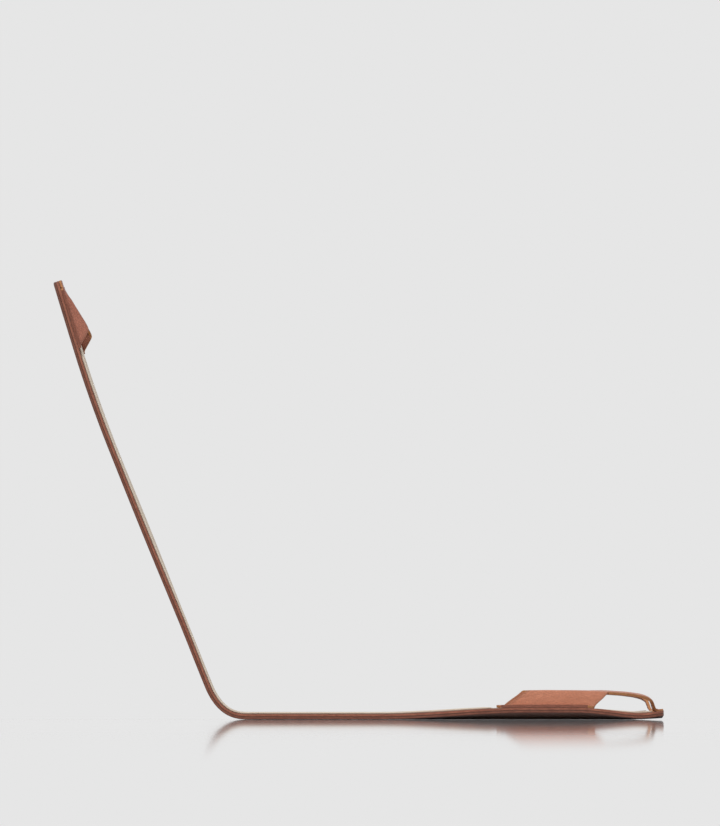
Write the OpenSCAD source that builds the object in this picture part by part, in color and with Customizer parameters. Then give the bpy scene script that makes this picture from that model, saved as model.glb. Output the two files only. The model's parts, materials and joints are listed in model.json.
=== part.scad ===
// Leather laptop sleeve: a folded cover of two glued leather plies with a wool felt lining, and
// four diagonal corner straps that hold the laptop. It stands open, with the base flap flat on a
// table and the lid flap leaning back. Millimetres, +Z up, +X towards the free end of the base
// flap, origin at the centre of the base flap's underside. Left is -Y, right is +Y.

/* [Cover] */
// Width of the cover, across the fold
panel_width = 315.5; // [240:0.5:380]
// Base flap, from its free end to the spine
base_length = 218.6; // [160:0.2:260]
// Lid flap, from the spine to its free end
lid_length = 226.3; // [160:0.1:260]
// Plan radius of the flaps' free corners
corner_radius = 6; // [2:0.5:10]
// Thickness of each leather ply
leather_ply = 1.4; // [1:0.1:1.8]
// Thickness of the felt lining
felt_thickness = 0.9; // [0.6:0.1:1.5]

/* [Spine] */
// Length of the spine along the lining's face
spine_length = 15.7; // [14:0.1:24]
// How far the spine itself is curved
spine_bend = 38; // [10:1:50]
// Fold between the base flap and the spine as the sleeve stands open
base_fold = 20; // [0:0.5:40]
// Fold between the spine and the lid flap as the sleeve stands open
lid_fold = 10; // [0:0.5:40]

/* [Lid bow] */
// How far the free end of the lid flap bows towards the laptop
bow_angle = 5; // [0.5:0.5:8]
// Where the bow starts, measured from the lid flap's free end
bow_start = 91; // [60:1:120]
// Where the bow ends, measured from the lid flap's free end
bow_end = 38; // [38:1:50]

/* [Lining] */
// Set-back of the felt from the cover's side edges
felt_side_inset = 1; // [0.5:0.1:3]
// Set-back of the felt from the base flap's free end
base_felt_end_inset = 5.6; // [5.6:0.1:12]
// Set-back of the felt from the lid flap's free end
lid_felt_end_inset = 8; // [7:0.5:12]
// Set-back of the felt beside the straps' side feet
felt_notch_width = 5.2; // [4.2:0.1:8]
// Length of the felt's notch for a base strap
base_notch_length = 88; // [85:1:110]
// Length of the felt's notch for a lid strap
lid_notch_length = 40; // [39:1:60]

/* [Base straps] */
// Height of the strap above the cover's leather
base_strap_height = 12.2; // [9:0.1:16]
// Where the outer edge meets the cover's edge, measured from the corner
base_strap_outer = 40; // [30:0.5:45]
// Where the mouth edge meets the cover's edge, measured from the corner
base_strap_mouth = 83; // [60:0.5:83]

/* [Lid straps] */
// Height of the strap above the cover's leather, at its mouth
lid_strap_height = 7.8; // [5:0.1:9]
// Height of the strap above the cover's leather, at the flap's free end
lid_strap_end_height = 4; // [3:0.1:5]
// Where the outer edge meets the cover's edge, measured from the corner
lid_strap_outer = 5; // [3:0.5:10]
// Where the mouth edge meets the cover's edge, measured from the corner
lid_strap_mouth = 36.5; // [25:0.5:37.5]

/* [Hidden] */

OUTER_COLOUR = [0.58, 0.34, 0.25];
INNER_COLOUR = [0.66, 0.42, 0.30];
STRAP_COLOUR = [0.72, 0.44, 0.33];
FELT_COLOUR = [0.90, 0.86, 0.79];
LEFT = -1;
RIGHT = 1;

// Film of glue between two layers, and the slit on either side of the spine
glue = 0.05;
slit = 0.1;

// Heights of the layers' faces above the cover's outer face
inner_ply_bottom = leather_ply + glue;
leather_top = inner_ply_bottom + leather_ply;
felt_bottom = leather_top + glue;
cover_thickness = felt_bottom + felt_thickness;

// Point at height h over an arc that starts at the origin and has turned by a
arc_steps = 8;
function arc_point(radius, a, h) = [
    -(radius - h) * sin(a),
    radius - (radius - h) * cos(a)
];

// The spine's curve, with half a slit cleared at each end
spine_radius = spine_length / (spine_bend * PI / 180);
spine_gap = slit / 2 / spine_radius * 180 / PI;
spine_end = arc_point(spine_radius, spine_bend, 0);
function spine_face(h) = [
    for (k = [0:arc_steps])
        arc_point(spine_radius, spine_gap + (spine_bend - 2 * spine_gap) * k / arc_steps, h)
];

// The lid flap's bow: a straight stretch, an arc, and a straight free end
bow_radius = (bow_start - bow_end) / (bow_angle * PI / 180);
arc_start = lid_length - bow_start;
arc_x = arc_start + bow_radius * sin(bow_angle);
arc_z = bow_radius * (1 - cos(bow_angle));
tip_x = arc_x + bow_end * cos(bow_angle);
tip_z = arc_z + bow_end * sin(bow_angle);

function tip_point(h) = [-(tip_x - h * sin(bow_angle)), tip_z + h * cos(bow_angle)];
function lid_face(h) = concat(
    [[-slit / 2, h]],
    [for (k = [0:arc_steps]) arc_point(bow_radius, bow_angle * k / arc_steps, h) - [arc_start, 0]],
    [tip_point(h)]
);
function reversed(list) = [for (k = [len(list) - 1:-1:0]) list[k]];

// Straps: the flat foot's width, the riser's lean and how fast the edges rake back as they rise
base_side_foot = 3;
base_side_lean = 1.2;
base_end_foot = 3.4;
base_end_lean = 2.2;
lid_side_foot = 1.2;
lid_side_lean = 1.6;
lid_end_foot = 4;
lid_end_lean = 3.5;
lid_peak = 28;
edge_rake = 0.65;
strap_reach = 120;

// How far a cutting shape runs past what it cuts, and the sizes of the largest ones
spare = 1;
outline_height = 60;
far = 400;

function flat_rise(foot, lean, height) = [
    [foot, leather_ply], [foot + lean, height], [strap_reach, height]
];
function ramp_rise() = [
    [lid_end_foot, leather_ply],
    [lid_end_foot + lid_end_lean, lid_strap_end_height],
    [lid_peak, lid_strap_height],
    [strap_reach, lid_strap_height]
];

// ---- Places ----

// Frames of the spine and the lid flap: the fold line on the lining's face is the origin, the
// piece runs along -X, and +Z points out of the lining
module at_spine() {
    translate([-base_length / 2, 0, cover_thickness])
        rotate([0, base_fold, 0])
            children();
}

module at_lid() {
    at_spine()
        translate([spine_end[0], 0, spine_end[1]])
            rotate([0, spine_bend + lid_fold, 0])
                children();
}

// Frame of a strap: the flap's corner is the origin, on the inner leather's face, +X runs along
// the side edge away from the free end, and +Y runs along the free end
module at_base_corner(side) {
    translate([base_length / 2, side * panel_width / 2, leather_top])
        mirror([1, 0, 0])
            mirror([0, side == RIGHT ? 1 : 0, 0])
                children();
}

module at_lid_corner(side) {
    corner = tip_point(leather_top - cover_thickness);
    at_lid()
        translate([corner[0], side * panel_width / 2, corner[1]])
            rotate([0, bow_angle, 0])
                mirror([0, side == RIGHT ? 1 : 0, 0])
                    children();
}

// ---- Outlines ----

// A flap seen square on, from its fold line at x = 0 to its free end, with two round corners
module flap_outline(length) {
    straight = length - corner_radius;
    translate([slit / 2, -panel_width / 2])
        square([straight - slit / 2, panel_width]);
    translate([slit / 2, -panel_width / 2 + corner_radius])
        square([length - slit / 2, panel_width - 2 * corner_radius]);
    for (side = [LEFT, RIGHT])
        translate([straight, side * (panel_width / 2 - corner_radius)])
            circle(r = corner_radius, $fn = 48);
}

// The felt stops short of the edges, and further back beside the straps' feet
module felt_outline(length, notch_length, end_inset) {
    wide = panel_width - 2 * felt_side_inset;
    narrow = panel_width - 2 * felt_notch_width;
    translate([slit / 2, -wide / 2])
        square([length - notch_length - slit / 2, wide]);
    translate([slit / 2, -narrow / 2])
        square([length - end_inset - slit / 2, narrow]);
}

// ---- Layers of the cover, between two heights above its outer face ----

module base_layer(bottom, top) {
    translate([-base_length / 2, 0, bottom])
        linear_extrude(height = top - bottom)
            children();
}

module spine_layer(bottom, top, inset = 0) {
    profile = concat(
        spine_face(top - cover_thickness),
        reversed(spine_face(bottom - cover_thickness))
    );
    at_spine()
        rotate([90, 0, 0])
            linear_extrude(height = panel_width - 2 * inset, center = true)
                polygon(profile);
}

module lid_layer(bottom, top) {
    profile = concat(
        lid_face(top - cover_thickness),
        reversed(lid_face(bottom - cover_thickness))
    );
    at_lid()
        intersection() {
            rotate([90, 0, 0])
                linear_extrude(height = panel_width + 2 * spare, center = true)
                    polygon(profile);
            mirror([1, 0, 0])
                linear_extrude(height = outline_height, center = true)
                    children();
        }
}

// ---- Straps ----

// Wedge under a sheet that rises from a flat foot. Seen along the edge, x is the distance
// inwards from the cover's edge.
module under_sheet(rise) {
    polygon(concat([[0, 0], [0, leather_ply]], rise, [[strap_reach, 0]]));
}

module under_cavity(rise) {
    inner = [for (p = rise) p + [leather_ply, -leather_ply]];
    first = inner[0];
    last = inner[len(inner) - 1];
    polygon(concat([[first[0], -spare]], inner, [[last[0], -spare]]));
}

module along_y() {
    rotate([90, 0, 0])
        translate([0, 0, -strap_reach])
            linear_extrude(height = strap_reach)
                children();
}

module along_x() {
    rotate([0, 0, 90])
        mirror([0, 1, 0])
            along_y()
                children();
}

// Slab between the strap's two parallel edges, which cross the corner at 45 degrees. Each edge
// meets the cover's edge at its given distance from the corner, and rakes back as it rises.
module strap_band(outer, mouth) {
    normal = [1, 1, edge_rake];
    size = norm(normal);
    tilt = atan2(edge_rake, sqrt(2));
    foot = edge_rake * leather_ply;
    rotate([0, -tilt, 45])
        translate([(outer + foot) / size, -far / 2, -far / 2])
            cube([(mouth - outer) / size, far, far]);
}

module corner_strap(end_rise, side_rise, outer, mouth) {
    intersection() {
        difference() {
            intersection() {
                along_y() under_sheet(end_rise);
                along_x() under_sheet(side_rise);
            }
            intersection() {
                along_y() under_cavity(end_rise);
                along_x() under_cavity(side_rise);
            }
        }
        strap_band(outer, mouth);
    }
}

module base_strap(side) {
    at_base_corner(side)
        translate([0, 0, glue])
            corner_strap(
                flat_rise(base_end_foot, base_end_lean, base_strap_height),
                flat_rise(base_side_foot, base_side_lean, base_strap_height),
                base_strap_outer,
                base_strap_mouth
            );
}

module lid_strap(side) {
    at_lid_corner(side)
        translate([0, 0, glue])
            corner_strap(
                ramp_rise(),
                flat_rise(lid_side_foot, lid_side_lean, lid_strap_height),
                lid_strap_outer,
                lid_strap_mouth
            );
}

// ---- Sub-parts ----

module base_outer_leather() {
    color(OUTER_COLOUR) base_layer(0, leather_ply) flap_outline(base_length);
}

module base_inner_leather() {
    color(INNER_COLOUR) base_layer(inner_ply_bottom, leather_top) flap_outline(base_length);
}

module base_felt() {
    color(FELT_COLOUR)
        base_layer(felt_bottom, cover_thickness)
            felt_outline(base_length, base_notch_length, base_felt_end_inset);
}

module spine_outer_leather() {
    color(OUTER_COLOUR) spine_layer(0, leather_ply);
}

module spine_inner_leather() {
    color(INNER_COLOUR) spine_layer(inner_ply_bottom, leather_top);
}

module spine_felt() {
    color(FELT_COLOUR) spine_layer(felt_bottom, cover_thickness, felt_side_inset);
}

module lid_outer_leather() {
    color(OUTER_COLOUR) lid_layer(0, leather_ply) flap_outline(tip_x);
}

module lid_inner_leather() {
    color(INNER_COLOUR) lid_layer(inner_ply_bottom, leather_top) flap_outline(tip_x);
}

module lid_felt() {
    color(FELT_COLOUR)
        lid_layer(felt_bottom, cover_thickness)
            felt_outline(lid_length, lid_notch_length, lid_felt_end_inset);
}

module base_strap_left() {
    color(STRAP_COLOUR) base_strap(LEFT);
}

module base_strap_right() {
    color(STRAP_COLOUR) base_strap(RIGHT);
}

module lid_strap_left() {
    color(STRAP_COLOUR) lid_strap(LEFT);
}

module lid_strap_right() {
    color(STRAP_COLOUR) lid_strap(RIGHT);
}

base_outer_leather();
base_inner_leather();
base_felt();
spine_outer_leather();
spine_inner_leather();
spine_felt();
lid_outer_leather();
lid_inner_leather();
lid_felt();
base_strap_left();
base_strap_right();
lid_strap_left();
lid_strap_right();
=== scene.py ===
"""Looks of a leather laptop sleeve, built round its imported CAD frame.

The cover is three sheets: an outer leather ply, an inner leather ply and a felt lining. Each sheet
is drawn in flat coordinates and laid along one curve, from the base flap's free end, round the
fold, to the lid flap's free end:
    p  distance along the cover from the base flap's free end
    q  distance across it, 0 in the middle, negative on the left
    h  height above the cover's outer face
The straps are drawn the same way, over the leather they are glued to. Lengths are in metres.
"""

import json
import math

import bmesh
import bpy
import numpy as np
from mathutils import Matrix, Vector


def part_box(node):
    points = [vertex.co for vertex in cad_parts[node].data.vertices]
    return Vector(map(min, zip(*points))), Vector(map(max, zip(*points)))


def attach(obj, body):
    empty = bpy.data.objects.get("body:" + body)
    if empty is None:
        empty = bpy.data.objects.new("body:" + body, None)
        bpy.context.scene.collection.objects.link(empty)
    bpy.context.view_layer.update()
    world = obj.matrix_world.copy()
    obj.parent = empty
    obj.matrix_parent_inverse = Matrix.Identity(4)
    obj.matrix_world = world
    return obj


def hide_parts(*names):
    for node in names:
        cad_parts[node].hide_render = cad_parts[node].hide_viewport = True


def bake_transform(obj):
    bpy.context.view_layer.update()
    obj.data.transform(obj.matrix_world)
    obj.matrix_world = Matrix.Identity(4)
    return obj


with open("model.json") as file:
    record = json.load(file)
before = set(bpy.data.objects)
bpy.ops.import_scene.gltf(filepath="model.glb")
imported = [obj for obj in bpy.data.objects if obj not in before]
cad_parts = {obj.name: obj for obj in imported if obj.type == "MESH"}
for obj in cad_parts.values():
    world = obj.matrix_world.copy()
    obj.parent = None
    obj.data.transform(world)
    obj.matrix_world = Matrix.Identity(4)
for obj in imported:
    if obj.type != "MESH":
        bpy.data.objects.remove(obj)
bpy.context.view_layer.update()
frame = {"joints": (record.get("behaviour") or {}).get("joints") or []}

MM = 0.001

# ---- Sizes taken from the frame ----

base_low, base_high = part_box("base_outer_leather")
inner_low, inner_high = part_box("base_inner_leather")
felt_low, felt_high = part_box("base_felt")
HALF_WIDTH = base_high.y
BASE_END_X = base_high.x
LEATHER = inner_high.z
COVER = felt_high.z
PLY = base_high.z - base_low.z

FOLDS = [Vector(joint["pos_m"]) for joint in frame["joints"]]

# ---- Sizes of the spine and the lid flap's bow, as in the CAD ----

SPINE_LENGTH = 15.7 * MM
LID_LENGTH = 226.3 * MM
LID_TURN = math.radians(68)
BOW_ANGLE = math.radians(5)
BOW_START = 91 * MM
BOW_END = 38 * MM
FOLD_P = [BASE_END_X - FOLDS[0].x]
FOLD_P.append(FOLD_P[0] + SPINE_LENGTH)
LENGTH = FOLD_P[1] + LID_LENGTH

CORNER_RADIUS = 6 * MM
FELT_CORNER_RADIUS = 4 * MM


def smooth(t):
    """0 below 0, 1 above 1, and a soft S between."""
    t = np.clip(t, 0, 1)
    return t * t * (3 - 2 * t)


# ---- The curve of the cover's lining face, seen from the side ----

CURVE_STEP = 0.1 * MM

# The bends of the real leather: where each is centred, its length and its share of the turn
HEEL_CENTRE, HEEL_LENGTH, HEEL_SHARE = FOLD_P[0] + 3.4 * MM, 19.5 * MM, 0.73
KNEE_CENTRE, KNEE_LENGTH = FOLD_P[1] - 0.6 * MM, 14 * MM
LID_FORWARD = 0.5 * MM


def cover_turn(p):
    """How far the cover has turned up from the table at p, in radians."""
    heel = smooth((p - HEEL_CENTRE) / HEEL_LENGTH + 0.5)
    knee = smooth((p - KNEE_CENTRE) / KNEE_LENGTH + 0.5)
    bow = (p - (LENGTH - BOW_START)) / (BOW_START - BOW_END)
    turn = LID_TURN * (HEEL_SHARE * heel + (1 - HEEL_SHARE) * knee)
    return turn + BOW_ANGLE * np.clip(bow, 0, 1)


def cover_curve():
    """Tables of p, x, z and turn along the lining's face."""
    p = np.arange(0, LENGTH + CURVE_STEP, CURVE_STEP)
    turn = cover_turn(p)
    middle = cover_turn(p[:-1] + CURVE_STEP / 2)
    x = BASE_END_X - np.concatenate([[0], np.cumsum(np.cos(middle))]) * CURVE_STEP
    z = COVER + np.concatenate([[0], np.cumsum(np.sin(middle))]) * CURVE_STEP
    # The soft bends cut the corners, so the lid is drawn back to where the CAD has it.
    after = KNEE_CENTRE + KNEE_LENGTH / 2
    want_x = FOLDS[1].x - math.cos(LID_TURN) * (after - FOLD_P[1]) + LID_FORWARD
    want_z = FOLDS[1].z + math.sin(LID_TURN) * (after - FOLD_P[1])
    share = smooth((p - HEEL_CENTRE + HEEL_LENGTH / 2) / (after - HEEL_CENTRE))
    x += share * (want_x - np.interp(after, p, x))
    z += share * (want_z - np.interp(after, p, z))
    return p, x, z, turn


CURVE_P, CURVE_X, CURVE_Z, CURVE_TURN = cover_curve()


# ---- How the leather lifts off its curve ----

WAVE_COUNT = 7
WAVE_SIZES = (0.6, 1.6)


def waves(p, q, seed, length):
    """A smooth field between about -1 and 1, made of a few waves near the given length."""
    draw = np.random.RandomState(seed)
    total = np.zeros_like(p)
    for _ in range(WAVE_COUNT):
        angle = draw.uniform(0, math.tau)
        size = length * draw.uniform(*WAVE_SIZES)
        phase = draw.uniform(0, math.tau)
        along = p * math.cos(angle) + q * math.sin(angle)
        total += np.sin(along * math.tau / size + phase)
    return total / (WAVE_COUNT / 2)


SIDE_LIFT = 3.35 * MM
SIDE_LIFT_WIDTH = 24 * MM
SIDE_LIFT_START, SIDE_LIFT_RISE = 5 * MM, 40 * MM
SIDE_LIFT_END, SIDE_LIFT_FALL = 146 * MM, 76 * MM
SIDE_LIFT_POWER = 1.6
END_LIFT = 2.0 * MM
END_LIFT_LENGTH = 15 * MM
END_LIFT_POWER = 1.5
# The free end's curl is this share in the middle of the cover, and whole at the corners. The
# corners' extra curl reaches this far in from the side edges.
MIDDLE_LIFT_SHARE = 0.35
CORNER_LIFT_WIDTH = 70 * MM
CORNER_LIFT_POWER = 1.2
LID_WAVE = 0.3 * MM
LID_WAVE_LENGTH = 150 * MM
LID_WAVE_START, LID_WAVE_RISE = 12 * MM, 40 * MM
LID_WAVE_SEED = 5


def lift(p, q):
    """Height of the cover above its curve. The base straps draw the side edges up, and the free
    end has a slight curl."""
    side = HALF_WIDTH - np.abs(q)
    falling = smooth((SIDE_LIFT_END - p) / SIDE_LIFT_FALL)
    rising = smooth((p - SIDE_LIFT_START) / SIDE_LIFT_RISE)
    near_side = np.clip(1 - side / SIDE_LIFT_WIDTH, 0, 1) ** SIDE_LIFT_POWER
    sides = SIDE_LIFT * falling * rising * near_side
    near_corner = np.clip(1 - side / CORNER_LIFT_WIDTH, 0, 1) ** CORNER_LIFT_POWER
    curl = MIDDLE_LIFT_SHARE + (1 - MIDDLE_LIFT_SHARE) * near_corner
    end = END_LIFT * np.clip(1 - p / END_LIFT_LENGTH, 0, 1) ** END_LIFT_POWER * curl
    on_lid = smooth((p - FOLD_P[-1] - LID_WAVE_START) / LID_WAVE_RISE)
    lid = LID_WAVE * waves(p, q, LID_WAVE_SEED, LID_WAVE_LENGTH) * on_lid
    return sides + end + lid


def place(p, q, h, lifted=1.0):
    """Where the point (p, q, h) of the cover is at rest."""
    x = np.interp(p, CURVE_P, CURVE_X)
    z = np.interp(p, CURVE_P, CURVE_Z)
    turn = np.interp(p, CURVE_P, CURVE_TURN)
    out = h - COVER + lifted * lift(p, q)
    return np.stack([x + np.sin(turn) * out, q, z + np.cos(turn) * out], axis=-1)


# ---- Meshes ----

SHARP_ANGLE = math.radians(50)
WALL_ROWS = 3
# Places in a piece's list of materials
FACE, EDGE, RAW_EDGE = 0, 1, 2
TINY = 1e-15


def make_object(name, points, faces, face_materials, materials, sheet, rim):
    """A closed mesh. sheet holds each vertex's flat coordinates and rim its distance from a cut
    edge, both in millimetres, for the materials."""
    mesh = bpy.data.meshes.new(name)
    mesh.from_pydata(points.tolist(), [], faces)
    for material in materials:
        mesh.materials.append(material)
    mesh.polygons.foreach_set("material_index", face_materials)
    flat = mesh.attributes.new("sheet", "FLOAT_VECTOR", "POINT")
    flat.data.foreach_set("vector", (sheet / MM).astype(np.float32).ravel())
    edge = mesh.attributes.new("rim", "FLOAT", "POINT")
    edge.data.foreach_set("value", (rim / MM).astype(np.float32).ravel())
    bm = bmesh.new()
    bm.from_mesh(mesh)
    bmesh.ops.recalc_face_normals(bm, faces=bm.faces)
    bm.to_mesh(mesh)
    bm.free()
    mesh.shade_smooth()
    mesh.set_sharp_from_angle(angle=SHARP_ANGLE)
    mesh.update()
    obj = bpy.data.objects.new(name, mesh)
    bpy.context.scene.collection.objects.link(obj)
    return obj


def slab(name, top, bottom, wall_kinds, materials, sheet_top, sheet_bottom, rim):
    """A closed thick sheet from a grid of top points and a grid of bottom points. Its walls bulge
    through WALL_ROWS extra rings; wall_kinds gives each side's material: first and last row, then
    first and last column."""
    rows, columns = top.shape[:2]
    count = rows * columns
    index = np.arange(count).reshape(rows, columns)
    points = [top.reshape(-1, 3), bottom.reshape(-1, 3)]
    sheets = [sheet_top.reshape(-1, 3), sheet_bottom.reshape(-1, 3)]
    rims = [rim.ravel(), rim.ravel()]
    loop = np.concatenate([
        index[0, :-1], index[:-1, -1], index[-1, :0:-1], index[:0:-1, 0],
    ])
    sides = np.concatenate([
        np.full(columns - 1, 0), np.full(rows - 1, 3), np.full(columns - 1, 1),
        np.full(rows - 1, 2),
    ])
    faces, kinds = [], []
    quads = np.stack([
        index[:-1, :-1], index[:-1, 1:], index[1:, 1:], index[1:, :-1],
    ], axis=-1).reshape(-1, 4)
    faces += quads.tolist()
    faces += (quads[:, ::-1] + count).tolist()
    kinds += [FACE] * (2 * len(quads))
    rings = [loop]
    above, below = top.reshape(-1, 3)[loop], bottom.reshape(-1, 3)[loop]
    flat_above, flat_below = sheet_top.reshape(-1, 3)[loop], sheet_bottom.reshape(-1, 3)[loop]
    total = 2 * count
    cut = np.array([0.0 if wall_kinds[side] == FACE else 1.0 for side in sides])
    for k in range(1, WALL_ROWS + 1):
        share = k / (WALL_ROWS + 1)
        bulge = wall_bulge(above, below, flat_above, k, cut)
        points.append(above * (1 - share) + below * share + bulge)
        sheets.append(flat_above * (1 - share) + flat_below * share)
        rims.append(np.zeros(len(loop)))
        rings.append(np.arange(total, total + len(loop)))
        total += len(loop)
    rings.append(loop + count)
    for upper, lower in zip(rings, rings[1:]):
        wall = np.stack([upper, lower, np.roll(lower, -1), np.roll(upper, -1)], axis=-1)
        faces += wall.tolist()
        kinds += [wall_kinds[side] for side in sides]
    return make_object(
        name, np.concatenate(points), faces, kinds, materials,
        np.concatenate(sheets), np.concatenate(rims),
    )


FIBRE_RELIEF = 0.05 * MM
FIBRE_LENGTH = 3 * MM
FIBRE_SEED = 20


def wall_bulge(above, below, flat, row, cut):
    """Small outward and inward steps of the cut fibres on a wall."""
    following = np.roll(above, -1, axis=0) - np.roll(above, 1, axis=0)
    out = np.cross(following, above - below)
    out /= np.linalg.norm(out, axis=1, keepdims=True) + TINY
    relief = waves(flat[:, 0], flat[:, 1], FIBRE_SEED + row, FIBRE_LENGTH)
    return out * (relief * cut * FIBRE_RELIEF)[:, None]


EDGE_LINES = np.array([0, 0.07, 0.2, 0.4, 0.7, 1.2, 2, 3.2, 4.6, 6]) * MM
SEAM_LINES = np.array([0, 0.06, 0.2, 0.45]) * MM


def edge_lines(first, last, step, cut_first, cut_last):
    """Grid lines from first to last, closer together at a cut edge or a seam."""
    start = first + (EDGE_LINES if cut_first else SEAM_LINES)
    end = last - (EDGE_LINES if cut_last else SEAM_LINES)[::-1]
    count = max(2, int(round((end[0] - start[-1]) / step)) + 1)
    middle = np.linspace(start[-1], end[0], count)
    return np.concatenate([start[:-1], middle, end[1:]])


def rounded(distance, radius):
    """How far a face drops at this distance from an edge of this radius."""
    inside = np.clip(1 - distance / radius, 0, 1)
    return radius * (1 - np.sqrt(1 - inside * inside))


def round_corner(end_distance, side_distance, radius):
    """Moves grid points that lie in a square corner into a round one."""
    a = np.clip(1 - end_distance / radius, 0, 1)
    b = np.clip(1 - side_distance / radius, 0, 1)
    both = (a > 0) & (b > 0)
    new_end = radius * (1 - a * np.sqrt(1 - b * b / 2))
    new_side = radius * (1 - b * np.sqrt(1 - a * a / 2))
    return np.where(both, new_end, end_distance), np.where(both, new_side, side_distance)


SIDE_LINES = np.array([0, 0.07, 0.2, 0.4, 0.7, 1.2, 2.2, 4, 6.5, 9.5, 13, 17, 21.5, 27, 34]) * MM
MIDDLE_LINES = 26
FLAP_STEP = 1.7 * MM
FOLD_STEP = 0.55 * MM
LEATHER_EDGE = 0.22 * MM
FAR_AWAY = 1.0
RAGGED_REACH = 3 * MM
RAGGED_LENGTH = 9 * MM
RAGGED_SEEDS = (11, 12)


def cover_layer(name, first, last, bottom, top, half_width, materials, radius, free=None,
                edge=LEATHER_EDGE, back_edge=None, step=FLAP_STEP, ragged=0.0):
    """One sheet of the cover from p = first to p = last. free says which end is the flap's free
    end: "first", "last" or None. half_width is a function of p, and so is back_edge, the rounding
    of the outer face's edge where it isn't the lining face's. ragged is how uneven the edge is."""
    p = edge_lines(first, last, step, free == "first", free == "last")
    reach = half_width(p)
    inner = np.linspace(-1, 1, MIDDLE_LINES + 2)[1:-1]
    grid_q = []
    for value in reach:
        left = SIDE_LINES - value
        span = value - SIDE_LINES[-1]
        grid_q.append(np.concatenate([left, inner * span, -left[::-1]]))
    q = np.array(grid_q)
    p = np.repeat(p[:, None], q.shape[1], axis=1)
    side = reach[:, None] - np.abs(q)
    if free == "first":
        end = p - first
    elif free == "last":
        end = last - p
    else:
        end = np.full_like(p, FAR_AWAY)
    rim = np.minimum(end, side)
    end_moved, side_moved = round_corner(end, side, radius)
    q = np.sign(q) * (reach[:, None] - side_moved)
    if free == "first":
        p = first + end_moved
    elif free == "last":
        p = last - end_moved
    if ragged:
        near = ragged * np.clip(1 - rim / RAGGED_REACH, 0, 1)
        q = q + np.sign(q) * near * waves(p, q * 0, RAGGED_SEEDS[0], RAGGED_LENGTH)
        p = p + near * waves(q, p * 0, RAGGED_SEEDS[1], RAGGED_LENGTH)
    high = top - rounded(rim, edge)
    low = bottom + rounded(rim, back_edge(p) if back_edge else edge)
    upper, lower = place(p, q, high), place(p, q, low)
    kinds = [EDGE if free == "first" else FACE, EDGE if free == "last" else FACE, EDGE, EDGE]
    return slab(
        name, upper, lower, kinds, materials,
        np.stack([p, q, high], axis=-1), np.stack([p, q, low], axis=-1), rim,
    )


# ---- Materials ----

class Nodes:
    """Short calls for building a node tree."""

    def __init__(self, name):
        self.material = bpy.data.materials.new(name)
        self.material.use_nodes = True
        self.tree = self.material.node_tree
        self.shader = self.tree.nodes["Principled BSDF"]

    def add(self, kind, inputs=(), **settings):
        node = self.tree.nodes.new(kind)
        for key, value in settings.items():
            setattr(node, key, value)
        for key, value in dict(inputs).items():
            self.put(node.inputs[key], value)
        return node

    def put(self, socket, value):
        if isinstance(value, bpy.types.NodeSocket):
            self.tree.links.new(value, socket)
        else:
            socket.default_value = value

    def sheet(self, scale, shift):
        """The flat coordinates in millimetres, times scale."""
        source = self.add("ShaderNodeAttribute", attribute_name="sheet").outputs["Vector"]
        moved = self.add("ShaderNodeVectorMath", {0: source, 1: shift}, operation="ADD")
        return self.add(
            "ShaderNodeVectorMath", {0: moved.outputs[0], 1: scale}, operation="MULTIPLY"
        ).outputs[0]

    def rim(self):
        return self.add("ShaderNodeAttribute", attribute_name="rim").outputs["Fac"]

    def noise(self, vector, detail=3, roughness=0.5, distortion=0):
        return self.add("ShaderNodeTexNoise", {
            "Vector": vector, "Scale": 1.0, "Detail": detail, "Roughness": roughness,
            "Distortion": distortion,
        }).outputs["Fac"]

    def cells(self, vector):
        """Distance to the nearest border between irregular cells."""
        return self.add("ShaderNodeTexVoronoi", {
            "Vector": vector, "Scale": 1.0,
        }, feature="DISTANCE_TO_EDGE").outputs["Distance"]

    def remap(self, value, low, high, to_low=0.0, to_high=1.0):
        return self.add("ShaderNodeMapRange", {
            "Value": value, "From Min": low, "From Max": high, "To Min": to_low,
            "To Max": to_high,
        }, interpolation_type="SMOOTHSTEP").outputs["Result"]

    def maths(self, operation, a, b=0.0):
        return self.add("ShaderNodeMath", {0: a, 1: b}, operation=operation).outputs[0]

    def mix(self, share, a, b):
        node = self.add("ShaderNodeMix", data_type="RGBA")
        self.put(node.inputs["Factor"], share)
        colours = [s for s in node.inputs if s.type == "RGBA"]
        self.put(colours[0], a if isinstance(a, bpy.types.NodeSocket) else (*a, 1))
        self.put(colours[1], b if isinstance(b, bpy.types.NodeSocket) else (*b, 1))
        return [s for s in node.outputs if s.type == "RGBA"][0]

    def bump(self, height, distance, strength=1.0, normal=None):
        inputs = {"Height": height, "Distance": distance, "Strength": strength}
        if normal is not None:
            inputs["Normal"] = normal
        return self.add("ShaderNodeBump", inputs).outputs["Normal"]

    def finish(self, **inputs):
        for key, value in inputs.items():
            self.put(self.shader.inputs[key.replace("_", " ")], value)
        return self.material


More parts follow.
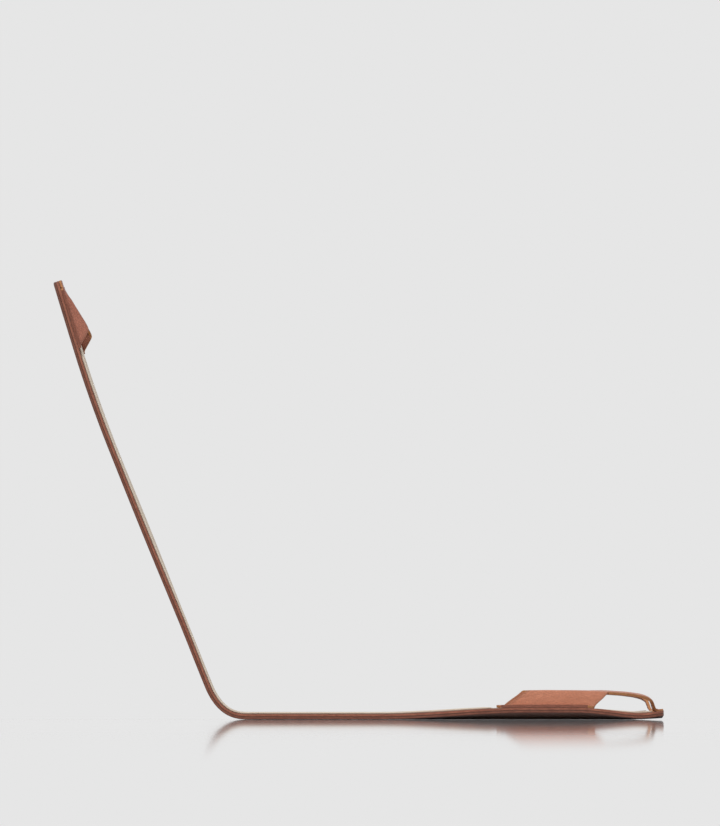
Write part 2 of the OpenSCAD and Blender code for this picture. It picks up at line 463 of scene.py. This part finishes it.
def grain_leather(name, light, dark, rim_colour, seed, roughness=0.5, rim_reach=2.2,
                  rim_share=0.75):
    """Full-grain leather: fine pebbles, pores, cloudy colour, and rims that are darker up to
    rim_reach millimetres from a cut edge."""
    n = Nodes(name)
    shift = (seed * 13.1, seed * 7.7, 0)
    clouds = n.noise(n.sheet((0.035, 0.035, 0.02), shift), 4, 0.5, 0.2)
    patches = n.noise(n.sheet((0.22, 0.22, 0.1), shift), 4, 0.6)
    warped = n.add("ShaderNodeVectorMath", {
        0: n.sheet((1.0, 1.0, 0.6), shift),
        1: n.add("ShaderNodeTexNoise", {
            "Vector": n.sheet((0.8, 0.8, 0.5), shift), "Scale": 1.0, "Detail": 2.0,
        }).outputs["Color"],
    }, operation="ADD").outputs[0]
    pebbles = n.cells(warped)
    creases = n.remap(pebbles, 0.0, 0.16)
    pores = n.noise(n.sheet((4.5, 4.5, 3.0), shift), 2, 0.6)
    tone = n.maths("ADD", n.maths("MULTIPLY", clouds, 0.45), n.maths("MULTIPLY", patches, 0.55))
    colour = n.mix(n.remap(tone, 0.26, 0.74), dark, light)
    darker = n.mix(0.5, dark, (0.0, 0.0, 0.0))
    in_creases = n.maths("MULTIPLY", n.remap(pebbles, 0.0, 0.12, 1.0, 0.0), 0.5)
    colour = n.mix(in_creases, colour, darker)
    colour = n.mix(n.maths("MULTIPLY", n.remap(pores, 0.55, 0.75), 0.25), colour, darker)
    # Darker towards a cut edge. On the outer leather and its underside this darkening is painted
    # shade.
    rim_darkening = n.remap(n.rim(), 0.0, rim_reach, 1.0, 0.0)
    colour = n.mix(n.maths("MULTIPLY", rim_darkening, rim_share), colour, rim_colour)
    height = n.maths("ADD", creases, n.maths("MULTIPLY", pores, 0.5))
    normal = n.bump(height, 0.00011, 0.9)
    normal = n.bump(patches, 0.0006, 0.35, normal)
    rough = n.remap(tone, 0.3, 0.7, roughness + 0.08, roughness - 0.08)
    return n.finish(
        Base_Color=colour, Roughness=rough, Normal=normal, Specular_IOR_Level=0.4,
        Sheen_Weight=0.08, Sheen_Roughness=0.4,
    )


def cut_edge(name, light, middle, dark, seed):
    """Cut leather edge: fibres run along the edge, in darker and lighter layers."""
    n = Nodes(name)
    shift = (seed * 5.3, seed * 9.1, seed * 1.7)
    streaks = n.noise(n.sheet((0.5, 0.5, 3.6), shift), 6, 0.62, 0.5)
    threads = n.noise(n.sheet((1.6, 1.6, 9.0), shift), 4, 0.65)
    blotches = n.noise(n.sheet((0.16, 0.16, 0.4), shift), 3, 0.5)
    colour = n.mix(n.remap(streaks, 0.36, 0.62), dark, middle)
    colour = n.mix(n.maths("MULTIPLY", n.remap(threads, 0.5, 0.74), 0.6), colour, light)
    colour = n.mix(n.maths("MULTIPLY", n.remap(blotches, 0.45, 0.75), 0.45), colour, dark)
    height = n.maths("ADD", streaks, n.maths("MULTIPLY", threads, 0.6))
    return n.finish(
        Base_Color=colour, Roughness=n.remap(threads, 0.3, 0.7, 0.55, 0.8),
        Normal=n.bump(height, 0.00022, 0.8), Specular_IOR_Level=0.3,
    )


def wool_felt(name, light, shade, seed):
    """Pressed wool: short tangled fibres, soft sheen, and a slightly uneven tone."""
    n = Nodes(name)
    shift = (seed * 3.3, seed * 8.1, 0)
    fuzz = n.noise(n.sheet((2.6, 2.6, 2.6), shift), 6, 0.75, 1.2)
    strands = n.noise(n.sheet((1.2, 6.0, 3.0), shift), 4, 0.7, 2.0)
    cross = n.noise(n.sheet((6.0, 1.2, 3.0), shift), 4, 0.7, 2.0)
    clouds = n.noise(n.sheet((0.06, 0.06, 0.05), shift), 4, 0.6)
    fibres = n.maths("MAXIMUM", strands, cross)
    colour = n.mix(n.remap(fuzz, 0.3, 0.7), shade, light)
    lying = n.noise(n.sheet((0.45, 2.4, 1.0), shift), 3, 0.6, 3.0)
    standing = n.noise(n.sheet((2.4, 0.45, 1.0), shift), 3, 0.6, 3.0)
    hairs = n.remap(n.maths("MAXIMUM", lying, standing), 0.56, 0.72)
    colour = n.mix(n.maths("MULTIPLY", hairs, 0.4), colour, shade)
    pale = n.mix(0.5, light, (1.0, 1.0, 1.0))
    sparse = n.remap(n.maths("MINIMUM", lying, standing), 0.42, 0.3)
    colour = n.mix(n.maths("MULTIPLY", sparse, 0.35), colour, pale)
    colour = n.mix(n.maths("MULTIPLY", n.remap(clouds, 0.4, 0.7), 0.14), colour, shade)
    height = n.maths("ADD", fuzz, n.maths("MULTIPLY", fibres, 0.8))
    return n.finish(
        Base_Color=colour, Roughness=0.95, Normal=n.bump(height, 0.00035, 0.8),
        Specular_IOR_Level=0.15, Sheen_Weight=0.5, Sheen_Roughness=0.5,
        Sheen_Tint=(1.0, 0.96, 0.9, 1),
    )


BROWN_RIM = (0.12, 0.046, 0.028)
# Near-black painted shade along the outer ply's rims, for the shadowed underside of its lifted
# edge
OUTER_RIM_PAINTED_SHADE = (0.035, 0.013, 0.009)
# Painted shade for the base flap's underside, where the straps lift its border off the table
UNDERSIDE_PAINTED_SHADE = (0.06, 0.018, 0.01)
OUTER_LIGHT, OUTER_DARK = (0.45, 0.172, 0.101), (0.32, 0.115, 0.066)
outer_grain = grain_leather("outer_leather", OUTER_LIGHT, OUTER_DARK, OUTER_RIM_PAINTED_SHADE, 1)
# The base flap's outer face lies on the table. The border that its straps draw up is dark: painted
# shade, for the shadow under the lifted edge.
painted_shade_under_grain = grain_leather(
    "outer_leather_underside_painted_shade", OUTER_LIGHT, OUTER_DARK, UNDERSIDE_PAINTED_SHADE, 1, roughness=0.65,
    rim_reach=26.0, rim_share=0.94)
inner_grain = grain_leather(
    "inner_leather", (0.45, 0.185, 0.112), (0.32, 0.125, 0.073), BROWN_RIM, 2, roughness=0.6)
strap_grain = grain_leather(
    "strap_leather", (0.61, 0.24, 0.138), (0.49, 0.184, 0.102), (0.36, 0.144, 0.082), 3)
lid_strap_grain = grain_leather(
    "lid_strap_leather", (0.44, 0.16, 0.102), (0.30, 0.10, 0.061), (0.22, 0.083, 0.05), 7)
outer_edge = cut_edge(
    "outer_ply_edge", (0.34, 0.131, 0.077), (0.21, 0.074, 0.045), (0.10, 0.031, 0.019), 4)
inner_edge = cut_edge(
    "inner_ply_edge", (0.47, 0.19, 0.112), (0.32, 0.116, 0.07), (0.16, 0.05, 0.031), 8)
foot_edge = cut_edge(
    "strap_foot_edge", (0.36, 0.138, 0.081), (0.23, 0.081, 0.049), (0.12, 0.036, 0.022), 9)
raw_edge = cut_edge(
    "raw_edge", (0.62, 0.33, 0.155), (0.48, 0.22, 0.085), (0.31, 0.12, 0.046), 5)
felt = wool_felt("wool_felt", (0.80, 0.71, 0.60), (0.60, 0.47, 0.35), 6)

# ---- The cover ----

# Where each sheet is divided: a little way into each flap, and in the middle of the spine
FLAP_REACH = 8 * MM
CUTS = [FOLD_P[0] - FLAP_REACH, FOLD_P[0] + SPINE_LENGTH / 2, FOLD_P[1] + FLAP_REACH]


def blend_fold(piece):
    """Bakes a fold piece's transform into its mesh, where it stays as placed at rest."""
    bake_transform(piece)


def build_sheet(label, node, slot, bottom, top, half_width, materials, radius, ends,
                base_materials=None, **settings):
    """One sheet of the cover, as a base panel, two fold pieces and a lid panel. The base panel
    has base_materials where they are given."""
    first, last = ends
    base = cover_layer(
        label + "_base", first, CUTS[0], bottom, top, half_width, base_materials or materials,
        radius, "first", **settings)
    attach(base, "base")
    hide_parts("base_" + node)
    lid = cover_layer(
        label + "_lid", CUTS[-1], last, bottom, top, half_width, materials, radius, "last",
        **settings)
    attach(lid, "lid")
    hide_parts("lid_" + node)
    for k in range(len(FOLDS)):
        piece = cover_layer(
            "%s_fold_%d" % (label, k + 1), CUTS[k], CUTS[k + 1], bottom, top, half_width,
            materials, radius, step=FOLD_STEP, **settings)
        blend_fold(piece)
        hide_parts("spine_" + node)


def full_width(p):
    """The leather is as wide as the cover all along."""
    return np.full_like(p, HALF_WIDTH)


FELT_SIDE_INSET = 0.9 * MM
FELT_BASE_INSET = 5.6 * MM
FELT_LID_INSET = 8 * MM
FELT_EDGE = 0.55 * MM
FELT_RAGGED = 0.22 * MM
# Beside the straps' feet: how deep the felt steps back, and how far from each free end
NOTCH_DEPTH = 5.2 * MM
NOTCH_SOFTNESS = 3 * MM
BASE_NOTCH = 88 * MM
LID_NOTCH = 40 * MM
OUTER_EDGE, OUTER_EDGE_WEAR = 0.3 * MM, 0.45 * MM


def felt_width(p):
    """The felt steps back from the side edges beside the straps' feet."""
    notch = 1 - smooth((p - BASE_NOTCH) / NOTCH_SOFTNESS + 0.5)
    notch += smooth((p - (LENGTH - LID_NOTCH)) / NOTCH_SOFTNESS + 0.5)
    return HALF_WIDTH - FELT_SIDE_INSET - (NOTCH_DEPTH - FELT_SIDE_INSET) * notch


def outer_rounding(p):
    """The outer face's edge is square on the base flap and rounds off more and more towards the
    lid's end.
    """
    return OUTER_EDGE + OUTER_EDGE_WEAR * smooth((p - FOLD_P[1]) / LID_LENGTH)


build_sheet(
    "outer_leather", "outer_leather", "outer_leather", base_low.z, base_high.z, full_width,
    [outer_grain, outer_edge], CORNER_RADIUS, (0, LENGTH), [painted_shade_under_grain, outer_edge],
    back_edge=outer_rounding)
build_sheet(
    "inner_leather", "inner_leather", "inner_leather", inner_low.z, inner_high.z, full_width,
    [inner_grain, inner_edge], CORNER_RADIUS, (0, LENGTH))
build_sheet(
    "felt_lining", "felt", "wool_felt", felt_low.z, felt_high.z, felt_width,
    [felt, felt], FELT_CORNER_RADIUS, (FELT_BASE_INSET, LENGTH - FELT_LID_INSET),
    edge=FELT_EDGE, ragged=FELT_RAGGED)

# ---- Straps ----

GLUE = 0.05 * MM
STRAP_FOOT = LEATHER + GLUE + PLY
STRAP_EDGE = 0.16 * MM
BEND_STEP = 0.05 * MM
# The fineness of the search for a strap's edges
PATH_POINTS = 24001
PATH_HALVINGS = 34


def rise(corners, softness):
    """A strap's rise over the leather as tables of the distance in from the edge and the height of
    its outer face, with its corners bent softly."""
    corners = np.array(corners) * MM
    reach = np.concatenate([[0], np.cumsum(np.linalg.norm(np.diff(corners, axis=0), axis=1))])
    along = np.arange(0, reach[-1], BEND_STEP)
    half = int(softness / BEND_STEP)
    window = np.hanning(2 * half + 1)
    window /= window.sum()
    tables = []
    for column in (0, 1):
        values = np.interp(along, reach, corners[:, column])
        before = 2 * values[0] - values[half:0:-1]
        after = 2 * values[-1] - values[-2:-half - 2:-1]
        tables.append(np.convolve(np.concatenate([before, values, after]), window, "valid"))
    return tables


def soft_min(a, b, radius):
    """The smaller of a and b, blended where they are nearly equal."""
    share = np.clip(0.5 + 0.5 * (b - a) / radius, 0, 1)
    return b * (1 - share) + a * share - radius * share * (1 - share)


def strap_path(total, side_rise, end_rise, hip, rake):
    """One line over the strap, from its side foot to its end foot, as dense points (a, b, height),
    where a is the distance in from the free end and b from the side edge. At the feet a + b is
    total, and it falls by rake times the height above them."""
    lean = np.linspace(total, -total, PATH_POINTS)
    low, high = np.zeros_like(lean), np.full_like(lean, 2 * total)

    def heights(span):
        a, b = (span + lean) / 2, (span - lean) / 2
        side = np.interp(b, *side_rise)
        end = np.interp(a, *end_rise)
        return a, b, soft_min(side, end, hip)

    for _ in range(PATH_HALVINGS):
        span = (low + high) / 2
        a, b, height = heights(span)
        over = span + rake * (height - STRAP_FOOT) > total
        high = np.where(over, span, high)
        low = np.where(over, low, span)
    points = np.stack([a, b, height], axis=-1)
    return points[(a >= 0) & (b >= 0)]


def resample(points, side_reach, end_reach, step, middle_rows):
    """Evenly spaced rows near the two feet, and a fixed number of rows between."""
    lengths = np.linalg.norm(np.diff(points, axis=0), axis=1)
    along = np.concatenate([[0], np.cumsum(lengths)])
    total = along[-1]
    side = np.arange(0, side_reach, step)
    end = total - np.arange(0, end_reach, step)[::-1]
    middle = np.linspace(side_reach, total - end_reach, middle_rows + 1)[:-1]
    rows = np.concatenate([side, middle, end])
    return np.stack([np.interp(rows, along, points[:, k]) for k in range(3)], axis=-1), rows


def surface_normals(grid):
    """Unit normals of a grid of points."""
    down = np.gradient(grid, axis=0)
    right = np.gradient(grid, axis=1)
    normal = np.cross(down, right)
    return normal / (np.linalg.norm(normal, axis=-1, keepdims=True) + TINY)


STRAP_LINES = np.array([0, 0.05, 0.14, 0.3, 0.55, 0.9, 1.4]) * MM
STRAP_COLUMN = 1.2 * MM
STRAP_ROW = 0.4 * MM
STRAP_MIDDLE_ROWS = 44


def build_strap(name, side, at_lid, grain, band, side_rise, end_rise, hip, rakes, reaches, shape):
    """A strap glued over a corner. band holds the distances of its outer and mouth edges from the
    corner, measured along the cover's edge, and rakes holds their rakes. hip is how softly the
    side's rise meets the end's. reaches says how far the close rows run in from the side foot and
    the end foot. shape adds to a point's height."""
    outer, mouth = band
    width = (mouth - outer) / math.sqrt(2)
    middle = np.linspace(STRAP_LINES[-1], width - STRAP_LINES[-1], int(width / STRAP_COLUMN))
    across = np.concatenate([STRAP_LINES[:-1], middle, (width - STRAP_LINES[:-1])[::-1]])
    columns, rows = [], []
    for distance in across:
        rake = rakes[0] + (rakes[1] - rakes[0]) * distance / width
        path = strap_path(outer + distance * math.sqrt(2), side_rise, end_rise, hip, rake)
        points, row = resample(path, *reaches, STRAP_ROW, STRAP_MIDDLE_ROWS)
        columns.append(points)
        rows.append(row)
    grid = np.stack(columns, axis=1)
    along = np.stack(rows, axis=1)
    a, b, height = grid[..., 0], grid[..., 1], grid[..., 2]
    share = (across / width)[None, :] + 0 * a
    raised = np.clip((height - STRAP_FOOT) / (height.max() - STRAP_FOOT), 0, 1)
    height = height + shape(a, b, share, along) * smooth(raised)
    p = LENGTH - a if at_lid else a
    q = side * (HALF_WIDTH - b)
    top = place(p, q, height, 1 - smooth(raised))
    normal = surface_normals(top)
    upward = place(p, q, height + MM) - place(p, q, height)
    normal *= np.sign((normal * upward).sum())
    bottom = top - normal * PLY
    rim_across = np.minimum(across, width - across)[None, :] + 0 * a
    rim = np.minimum(rim_across, np.minimum(along, along[::-1]))
    drop = rounded(rim_across, STRAP_EDGE)[..., None] * normal
    top, bottom = top - drop, bottom + drop
    sheet = np.stack([along, share * width, np.full_like(along, PLY)], axis=-1)
    lower = sheet * [1, 1, 0]
    piece = slab(
        name, top, bottom, [EDGE, EDGE, RAW_EDGE, RAW_EDGE], [grain, foot_edge, raw_edge],
        sheet, lower, rim)
    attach(piece, "lid" if at_lid else "base")
    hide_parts(name)


DROOP, DROOP_RATE = 0.6 * MM, 3.4
BULGE = 0.2 * MM
BASE_WAVE, BASE_WAVE_LENGTH, BASE_WAVE_SEED = 0.12 * MM, 30 * MM, 31
WRINKLE, WRINKLE_LENGTH, WRINKLE_SEED = 0.2 * MM, 9 * MM, 32
WRINKLED_WIDTH = 24 * MM
WRINKLE_STRETCH = 0.2


def base_shape(a, b, share, along):
    """The outer edge droops onto the laptop, and the mouth bulges."""
    droop = DROOP * (smooth(share * DROOP_RATE) - 1)
    bulge = BULGE * smooth(share * 1.6 - 0.6)
    return droop + bulge + BASE_WAVE * waves(a, b, BASE_WAVE_SEED, BASE_WAVE_LENGTH)


def lid_shape(a, b, share, along):
    """Shallow wrinkles run along the strap."""
    return WRINKLE * waves(
        share * WRINKLED_WIDTH, along * WRINKLE_STRETCH, WRINKLE_SEED, WRINKLE_LENGTH)


# Rises in millimetres: distance in from the edge, and height of the strap's outer face
FOOT = STRAP_FOOT / MM
FAR = 120
BASE_HEIGHT = 15.3
LID_HEIGHT = 10.65
base_side = rise([[0, FOOT], [3.4, FOOT], [4.2, BASE_HEIGHT], [FAR, BASE_HEIGHT]], 1.1 * MM)
base_end = rise([
    [0, FOOT], [3.6, FOOT], [5.3, 9.8], [8, 12], [12, 13.2], [20, 14.3], [29, 15],
    [60, BASE_HEIGHT], [FAR, BASE_HEIGHT],
], 2.4 * MM)
lid_side = rise([[0, FOOT], [1.2, FOOT], [2.2, LID_HEIGHT], [FAR, LID_HEIGHT]], 1.3 * MM)
lid_end = rise([
    [0, FOOT], [4, FOOT], [8.6, 5.4], [10.5, 6.2], [28, LID_HEIGHT], [FAR, LID_HEIGHT],
], 1.6 * MM)

BASE_STRAP = dict(
    at_lid=False, grain=strap_grain, band=(39 * MM, 83.7 * MM), side_rise=base_side,
    end_rise=base_end, hip=1.5 * MM, rakes=(0.62, 0.88), reaches=(20 * MM, 26 * MM),
    shape=base_shape)
LID_STRAP = dict(
    at_lid=True, grain=lid_strap_grain, band=(5 * MM, 36.2 * MM), side_rise=lid_side,
    end_rise=lid_end, hip=1.2 * MM, rakes=(0.86, 0.86), reaches=(0.2 * MM, 0.2 * MM),
    shape=lid_shape)

for name, side in (("left", -1), ("right", 1)):
    build_strap("base_strap_" + name, side, **BASE_STRAP)
    build_strap("lid_strap_" + name, side, **LID_STRAP)

# ---- Studio ----

BACKDROP = 0.791
FLOOR_TONE = 0.8
FLOOR_SIZE = 60.0
FLOOR_DROP = 0.1 * MM
FLOOR_SHINE = 0.96
FLOOR_SHINE_FALL = 40
FLOOR_SHINE_NEAR, FLOOR_SHINE_FAR = 5.5, 12.0
FLOOR_SHINE_BACK = 1.0
FLOOR_ROUGHNESS = 0.012
# The rough reflection loses a little light in a view this low, most of all near the part, and
# this makes up for it.
FLOOR_GAIN = 1.026
FLOOR_GAIN_FAR = 10.0

scene = bpy.context.scene
scene.view_settings.view_transform = "Standard"


def build_floor():
    """A plain pale floor: matt from above, with a soft reflection near the part in a view along
    it. It is as bright as the backdrop, so no horizon shows."""
    mesh = bpy.data.meshes.new("floor")
    r = FLOOR_SIZE
    mesh.from_pydata([(-r, -r, 0), (r, -r, 0), (r, r, 0), (-r, r, 0)], [], [(0, 1, 2, 3)])
    n = Nodes("floor")
    facing = n.add("ShaderNodeLayerWeight", {"Blend": 0.5}).outputs["Facing"]
    share = n.maths("MULTIPLY", n.maths("POWER", facing, FLOOR_SHINE_FALL), FLOOR_SHINE)
    where = n.add("ShaderNodeNewGeometry").outputs["Position"]
    away = n.add("ShaderNodeVectorMath", {0: where}, operation="LENGTH").outputs["Value"]
    back = n.add("ShaderNodeSeparateXYZ", {0: where}).outputs["Y"]
    share = n.maths("MULTIPLY", share, n.remap(away, FLOOR_SHINE_NEAR, FLOOR_SHINE_FAR, 1.0, 0.0))
    share = n.maths("MULTIPLY", share, n.remap(back, HALF_WIDTH, FLOOR_SHINE_BACK, 1.0, 0.0))
    matt = n.add("ShaderNodeBsdfDiffuse", {"Color": (FLOOR_TONE, FLOOR_TONE, FLOOR_TONE, 1)})
    shine = n.add("ShaderNodeBsdfGlossy", {
        "Color": n.remap(away, 0.0, FLOOR_GAIN_FAR, FLOOR_GAIN, 1.0),
        "Roughness": FLOOR_ROUGHNESS,
    })
    mix = n.add("ShaderNodeMixShader", {0: share, 1: matt.outputs[0], 2: shine.outputs[0]})
    output = n.tree.nodes["Material Output"]
    n.tree.links.new(mix.outputs[0], output.inputs["Surface"])
    mesh.materials.append(n.material)
    floor = bpy.data.objects.new("floor", mesh)
    floor.location.z = -FLOOR_DROP
    scene.collection.objects.link(floor)


build_floor()

KEY_STRENGTH = 1.6
KEY_SOFTNESS = math.radians(50)
KEY_FROM = Vector((-0.35, -0.75, 0.7)).normalized()
# What the key light leaves to be added, for a level floor to look as bright as the backdrop
FILL = BACKDROP / FLOOR_TONE - KEY_STRENGTH * KEY_FROM.z / math.pi


def build_key():
    """One large soft light, from the left, the front and above."""
    light = bpy.data.lights.new("key", "SUN")
    light.energy = KEY_STRENGTH
    light.angle = KEY_SOFTNESS
    key = bpy.data.objects.new("key", light)
    key.rotation_euler = KEY_FROM.to_track_quat("Z", "Y").to_euler()
    scene.collection.objects.link(key)


def build_world():
    """Even light from all round, which the camera and reflections see as the plain backdrop."""
    world = bpy.data.worlds.new("studio")
    scene.world = world
    world.use_nodes = True
    nodes, links = world.node_tree.nodes, world.node_tree.links
    path = nodes.new("ShaderNodeLightPath")
    seen = nodes.new("ShaderNodeMath")
    seen.operation = "MAXIMUM"
    links.new(path.outputs["Is Camera Ray"], seen.inputs[0])
    links.new(path.outputs["Is Glossy Ray"], seen.inputs[1])
    level = nodes.new("ShaderNodeMapRange")
    level.inputs["To Min"].default_value = FILL
    level.inputs["To Max"].default_value = BACKDROP
    links.new(seen.outputs[0], level.inputs["Value"])
    background = nodes["Background"]
    background.inputs["Color"].default_value = (1, 1, 1, 1)
    links.new(level.outputs["Result"], background.inputs["Strength"])


build_key()
build_world()

# ---- Camera ----

# The view runs level along the fold, past the left side: the direction of the fold falls left of
# and below the middle of the picture.
CAMERA_DISTANCE = 17.0
CAMERA_HEIGHT = 10 * MM
CAMERA_PAST_FOLD = 14 * MM
CAMERA_RANGE = 200.0
SENSOR = 36.0
# At the distance of the part's left side: the height in view, and how far the middle of the
# picture is to the right of and above the camera's own place
VIEW_HEIGHT = 423.59 * MM
VIEW_RIGHT = 48.718 * MM
VIEW_ABOVE = 147.179 * MM

camera_data = bpy.data.cameras.new("camera")
camera_data.lens = SENSOR * CAMERA_DISTANCE / VIEW_HEIGHT
camera_data.sensor_width = SENSOR
camera_data.clip_end = CAMERA_RANGE
camera = bpy.data.objects.new("camera", camera_data)
camera.location = (
    FOLDS[0].x + CAMERA_PAST_FOLD, -HALF_WIDTH - CAMERA_DISTANCE, CAMERA_HEIGHT)
forward = Vector((VIEW_RIGHT, CAMERA_DISTANCE, VIEW_ABOVE))
camera.rotation_euler = forward.to_track_quat("-Z", "Y").to_euler()
scene.collection.objects.link(camera)
scene.camera = camera
